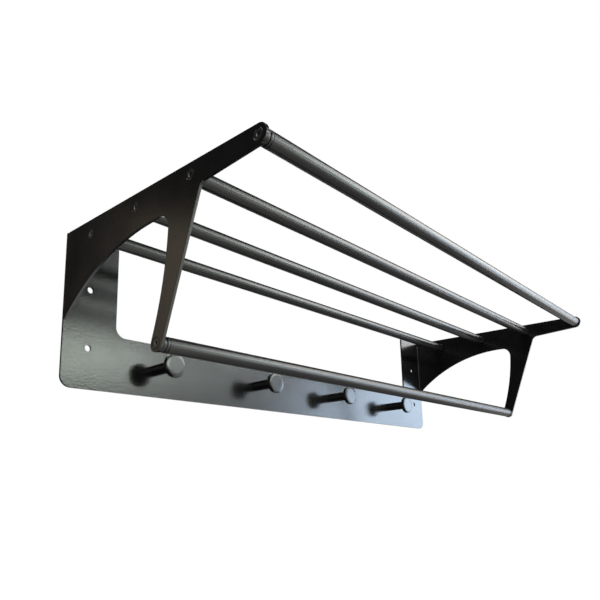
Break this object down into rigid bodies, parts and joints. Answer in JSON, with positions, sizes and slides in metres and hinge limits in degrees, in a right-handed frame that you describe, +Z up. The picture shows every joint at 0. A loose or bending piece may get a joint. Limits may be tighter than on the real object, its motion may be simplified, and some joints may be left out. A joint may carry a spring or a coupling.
{
  "type": "wall hook rack",
  "caption": "Black steel wall rack with a tubular hat shelf, a hanging rail under it and a row of round coat pegs on a cut-out wall plate.",
  "frame": {"origin": "on the wall plane at mid-width, at the height of the peg row", "axes": "+X along the tubes to the viewer's right, +Z up, the front faces -Y and the wall is at y = 0"},
  "size_m": [0.6, 0.2525, 0.139],
  "materials": {
    "coat": "satin black powder coat",
    "plug": "satin black",
    "socket_screw": "black oxide",
    "zinc_screw": "zinc plated"
  },
  "bodies": {
    "root": {"wall_plate": "coat", "bracket_left": "coat", "bracket_right": "coat", "shelf_tube_1": "coat", "shelf_tube_2": "coat", "shelf_tube_3": "coat", "shelf_tube_4": "coat", "hanging_rail": "coat", "peg_1": "coat", "peg_2": "coat", "peg_3": "coat", "peg_4": "coat", "shelf_plug_left_1": "plug", "shelf_plug_left_2": "plug", "shelf_plug_left_3": "plug", "shelf_plug_left_4": "plug", "shelf_plug_right_1": "plug", "shelf_plug_right_2": "plug", "shelf_plug_right_3": "plug", "shelf_plug_right_4": "plug", "rail_plug_left": "plug", "rail_plug_right": "plug", "bracket_screws_left": "socket_screw", "bracket_screws_right": "socket_screw", "peg_screws": "zinc_screw", "corner_seam_left": "coat", "corner_seam_right": "coat"}
  },
  "joints": []
}
